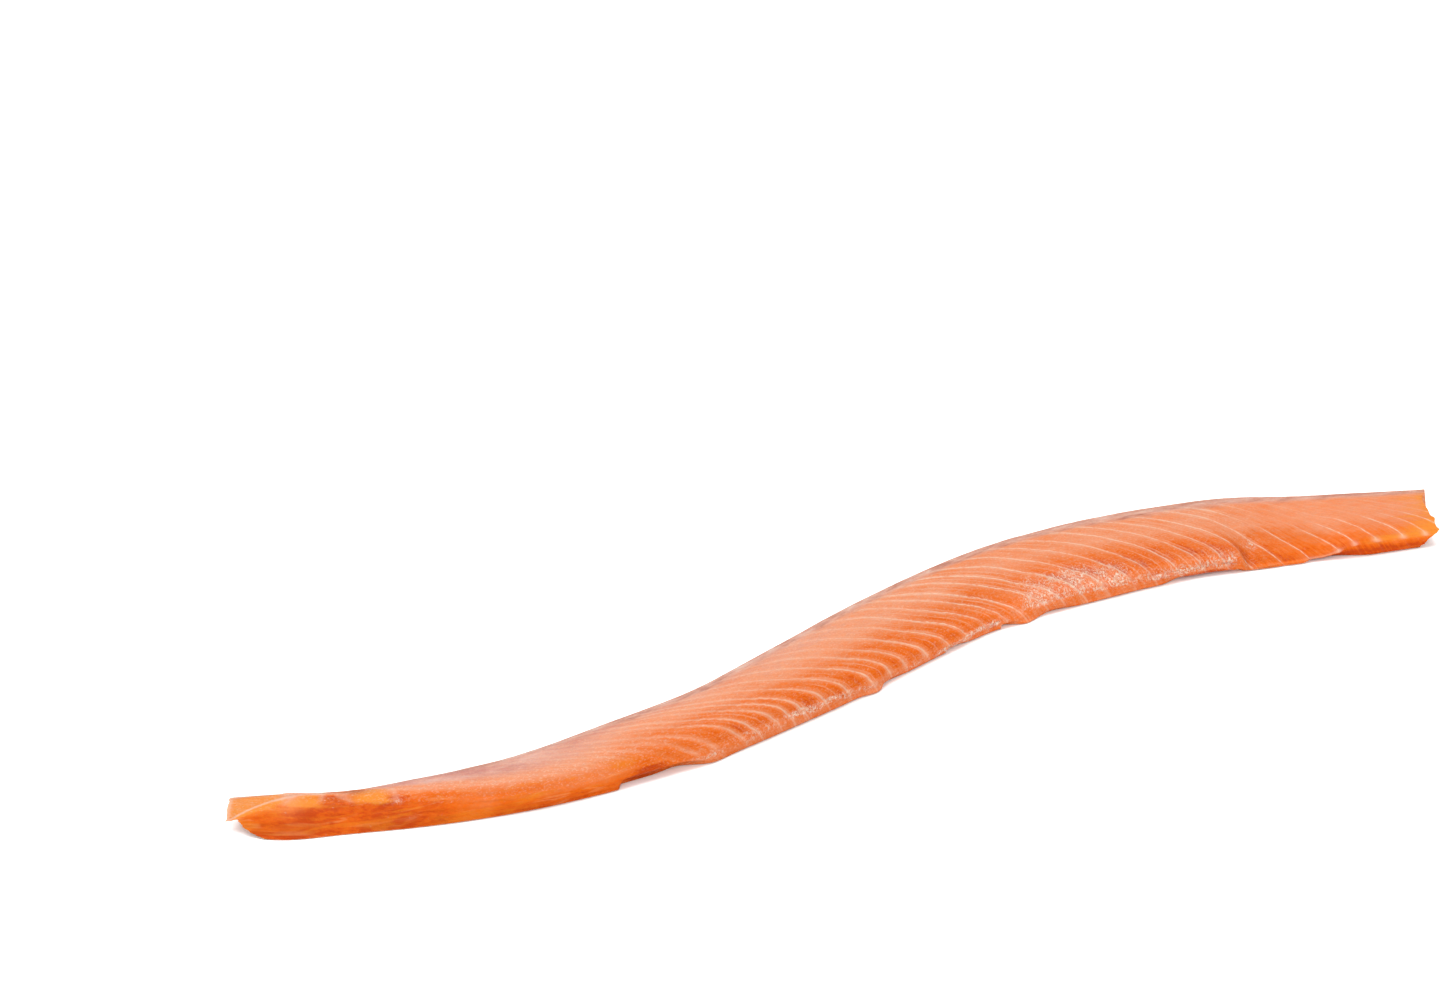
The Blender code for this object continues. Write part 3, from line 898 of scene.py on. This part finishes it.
def flesh_finish():
    """Raw trout flesh: pale pink by the skin to deep orange on the inner side, pale muscle lines of
    even width, fine fibres, pale torn places with painted wet glints, a greyish fat band and a
    silvery skinned side, with painted light on the front face and painted shade under the undercuts."""
    bench = Bench("trout_flesh_finish")
    place = bench.attribute("straight", vector=True)
    lines_before, per_mm = bench.attribute("lines_before"), bench.attribute("lines_per_mm")
    strength, shade_by_line = bench.attribute("line_strength"), bench.attribute("line_shade")
    warmth, rosy_and_sheen, amber_and_glow, fat_and_highlight = (bench.attribute(name) for name in ("warmth", "rosy_and_sheen", "amber_and_glow", "fat_and_highlight"))
    skin_side, band, torn_here = (bench.attribute(name) for name in ("skin_side", "band", "torn"))
    pale_streaks, lift, fine = (bench.attribute(name) for name in ("pale_streaks", "lift", "fine"))

    # Noises that several looks share; the last three are drawn out along the muscle lines
    blotch = bench.noise(place, 75.0, 3.0)
    fibre = bench.noise(bench.stretched(place, (0.35, 1.0, 1.0)), 1300.0, 3.0, 0.65)
    speck = bench.noise(place, 1700.0, 2.0, 0.6)
    swirl = bench.noise(bench.stretched(place, (0.16, 1.0, 1.0)), 420.0, 3.0, 0.55, 0.6)
    across = bench.add("ShaderNodeSeparateXYZ", {}, [place], output=1)
    by_line = bench.joined(lines_before * 5.0, across * 90.0)
    streak = bench.noise(by_line, 1.3, 3.0, 0.6, 0.5)
    kept = bench.noise(by_line, 0.9, 2.0, 0.6).between(0.45, 0.6)
    stroke = bench.noise(bench.joined(lines_before * 14.0, across * 300.0), 1.0, 2.0, 0.6, 0.4)

    # The flesh's own tone, deeper just past each line
    count = lines_before + (bench.noise(place, 420.0, 2.0) - 0.5) * 0.05
    past_line = (1.0 - count.math("FRACT").between(0.0, 0.75)) * shade_by_line
    even = (1.0 - pale_streaks) * (1.0 - rosy_and_sheen * 0.5)
    tone = warmth + (blotch - 0.5) * (0.26 + pale_streaks * 0.4)
    tone = tone + ((stroke - 0.5) * 0.42 + (streak - 0.5) * 0.28) * even
    tone = tone + (swirl - 0.5) * 0.24 + (fibre - 0.5) * 0.34 + past_line * 0.15
    colour = bench.tones(tone, FLESH_TONES)

    # Rosy flesh with its painted pink sheen, amber flesh with its painted glow towards the head end,
    # and the long streaks of the tail's front
    patches = bench.noise(bench.stretched(place, (0.3, 1.0, 1.0)), 260.0, 3.0, 0.6)
    colour = bench.mix(rosy_and_sheen, colour, bench.tones(streak * 0.25 + patches * 0.75, ROSY_AND_SHEEN_TONES))
    amber_here = (amber_and_glow * 1.5 + (swirl - 0.5) * 1.4).between(0.2, 1.1)
    colour = bench.mix(amber_here * 0.95, colour, AMBER_AND_GLOW)
    long_streaks = bench.noise(bench.stretched(place, (0.12, 1.0, 0.8)), 520.0, 2.0, 0.5, 1.2)
    colour = bench.mix(pale_streaks * long_streaks.between(0.55, 0.72) * 0.5, colour, PALE_STREAK)
    gold = bench.noise(bench.stretched(place, (0.15, 1.0, 1.0)), 260.0, 3.0, 0.6, 0.8)
    colour = bench.mix(pale_streaks * gold.between(0.5, 0.68) * 0.6, colour, GOLD_STREAK)

    # Muscle lines, by the distance in mm to the nearest one, and three thin lines between each two
    distance = ((count + 0.5).math("FRACT") - 0.5).math("ABSOLUTE") / per_mm
    broken = bench.noise(place, 800.0, 2.0).between(0.3, 0.58)
    core = (1.0 - distance.between(0.06, 0.55)) * strength * (0.45 + broken * 0.55)
    halo = (1.0 - distance.between(0.2, 1.6)) * strength * 0.16
    line = core.math("MAXIMUM", halo).clamped()
    colour = bench.mix(line * 0.92, colour, MUSCLE_LINE)
    thin_distance = ((count * 3.0).math("FRACT") - 0.5).math("ABSOLUTE") / (per_mm * 3.0)
    thin_line = (1.0 - thin_distance.between(0.05, 0.34)) * strength * fine * kept
    colour = bench.mix(thin_line * 0.42, colour, THIN_LINE)

    # Fine pale grains, partly painted tiny highlights, then torn places as clumps, curled threads and
    # flecks that are partly painted wet glints, then fat with its painted highlights
    grains_and_glints = bench.noise(bench.stretched(place, (0.6, 1.0, 1.0)), 2300.0, 2.0, 0.6, 0.4)
    colour = bench.mix(grains_and_glints.between(0.5, 0.7) * fine * 0.28, colour, GRAINS_AND_GLINTS)
    clumps = bench.noise(place, 480.0, 2.0, 0.6, 0.8).between(0.42, 0.6)
    curl = bench.noise(place, 850.0, 2.0, 0.5, 1.0)
    threads_and_glints = 1.0 - (curl - 0.5).math("ABSOLUTE").between(0.012, 0.06)
    flecks_and_glints = bench.noise(bench.stretched(place, (1.0, 0.6, 0.6)), 1500.0, 2.0, 0.6).between(0.54, 0.62)
    torn_pale_and_glints = (torn_here * ((clumps + 0.25) * (threads_and_glints + flecks_and_glints) * 0.95 + torn_here * 0.16)).clamped()
    colour = bench.mix(torn_pale_and_glints * 0.9, colour, TORN_FLESH_AND_GLINTS)
    colour = bench.mix((fat_and_highlight * (0.55 + blotch * 0.7)).clamped() * 0.85, colour, FAT_AND_HIGHLIGHT)

    # The fat band at the skin edge, and the mottled skinned side
    rind = bench.noise(bench.stretched(place, (0.22, 1.0, 1.0)), 650.0, 4.0, 0.65)
    in_band = 1.0 - (band + (rind - 0.5) * 0.9).between(0.5, 1.25)
    colour = bench.mix(in_band * 0.85, colour, bench.tones(rind, BAND_TONES))
    at_edge = 1.0 - band.between(0.1, 0.3)
    colour = bench.mix(at_edge * 0.6, colour, SKIN_EDGE)
    colour = bench.mix(skin_side * 0.9, colour, bench.tones(rind + core * 0.25, SKIN_TONES))
    # Brightness: the fibre and speck grain, times the painted light of the lift field
    shade = (0.78 + fibre * 0.22 + speck * 0.22) * lift
    scaled = bench.add("ShaderNodeVectorMath", {"operation": "SCALE"}, {0: colour, "Scale": shade})
    bench.feed(bench.shader.inputs["Base Color"], scaled)

    # Wet spots and relief
    gloss = 0.52 + (fibre - 0.5) * 0.2
    wet = bench.noise(place, 1000.0, 2.0, 0.5).between(0.69, 0.73)
    bench.feed(bench.shader.inputs["Roughness"], gloss.clamped())
    bench.feed(bench.shader.inputs["Coat Weight"], wet * 0.7)
    height = fibre * 0.5 + swirl * 0.5 + speck * 0.3 + line * 0.2 + torn_pale_and_glints * 0.8
    height = height + rind * (skin_side + in_band) * 0.6
    bump = bench.add("ShaderNodeBump", {}, {"Strength": 0.6, "Distance": 0.0003, "Height": height})
    bench.feed(bench.shader.inputs["Normal"], bump)
    moist(bench)
    return bench.material


def fibre_finish():
    """Torn fibres: paler than the flesh below and wet, some pinker than others."""
    bench = Bench("torn_fibre_finish")
    place = bench.add("ShaderNodeTexCoord", {}, output=3)
    patch = bench.noise(place, 500.0, 2.0)
    bench.feed(bench.shader.inputs["Base Color"], bench.tones(patch, FIBRE_TONES))
    bench.feed(bench.shader.inputs["Roughness"], 0.4 + patch * 0.25)
    moist(bench)
    return bench.material


def moist(bench):
    """The sockets that are the same all over raw flesh: light seeping in, and a faint wet gloss."""
    steady = {
        "Specular IOR Level": 0.06,
        "Subsurface Weight": 0.2,
        "Subsurface Radius": (1.0, 0.45, 0.2),
        "Subsurface Scale": 0.0012,
        "Coat Roughness": 0.1,
    }
    for name, value in steady.items():
        bench.shader.inputs[name].default_value = value


def table():
    """A plain white floor, whose far edge shows only in the lowest views."""
    mesh = bpy.data.meshes.new("floor")
    reach = 8.0
    just_below = -0.0001
    corner_points = [(-reach, -reach, 0), (reach, -reach, 0), (reach, reach, 0), (-reach, reach, 0)]
    mesh.from_pydata(corner_points, [], [(0, 1, 2, 3)])
    floor = bpy.data.objects.new("floor", mesh)
    floor.location.z = just_below
    bpy.context.scene.collection.objects.link(floor)
    bench = Bench("floor_finish")
    bench.shader.inputs["Base Color"].default_value = (0.9, 0.9, 0.9, 1)
    bench.shader.inputs["Roughness"].default_value = 0.7
    bench.shader.inputs["Specular IOR Level"].default_value = 0.2
    mesh.materials.append(bench.material)


def soft_light(name, place, size, power):
    """A square lamp aimed at the origin, under the middle of the strip."""
    lamp = bpy.data.lights.new(name, "AREA")
    lamp.shape = "SQUARE"
    lamp.size = size
    lamp.energy = power
    holder = bpy.data.objects.new(name, lamp)
    holder.location = place
    holder.rotation_euler = Vector(place).to_track_quat("Z", "Y").to_euler()
    bpy.context.scene.collection.objects.link(holder)


def studio():
    """White surroundings and soft lamps, shown in plain screen colours."""
    scene = bpy.context.scene
    world = bpy.data.worlds.new("studio")
    world.use_nodes = True
    background = world.node_tree.nodes["Background"]
    background.inputs["Color"].default_value = (1, 1, 1, 1)
    background.inputs["Strength"].default_value = 0.8
    scene.world = world
    scene.view_settings.view_transform = "Standard"
    soft_light("overhead_lamp", place=(-0.1, 0.25, 1.4), size=1.4, power=29.5)
    soft_light("front_lamp", place=(-0.6, -1.4, 0.9), size=1.2, power=20)


def photo_camera():
    """An 85 mm lens, 1.08 m from the point of the table in the middle of the picture."""
    azimuth, elevation = math.radians(-28), math.radians(25)
    aim = Vector((0.01225, 0.11729, 0))
    distance = 1.08
    level = math.cos(elevation)
    back = Vector((math.sin(azimuth) * level, -math.cos(azimuth) * level, math.sin(elevation)))
    lens = bpy.data.cameras.new("camera")
    lens.lens = 85
    lens.sensor_width = 36
    lens.clip_start = 0.01
    camera = bpy.data.objects.new("camera", lens)
    camera.location = aim + back * distance
    camera.rotation_euler = back.to_track_quat("Z", "Y").to_euler()
    bpy.context.scene.collection.objects.link(camera)
    bpy.context.scene.camera = camera


points, tips, straight, girth = strip_shape()
points, tips = points - PLAN_CENTRE, tips - PLAN_CENTRE

strip = closed_mesh("strip_flesh", points, tips, strip_fields(straight, girth, points))
strip.data.materials.append(flesh_finish())
fibres = fibre_piece(points, straight, girth)
fibres.data.materials.append(fibre_finish())
for piece in (strip, fibres):
    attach(piece, "root")
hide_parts("trout_strip")

table()
studio()
photo_camera()
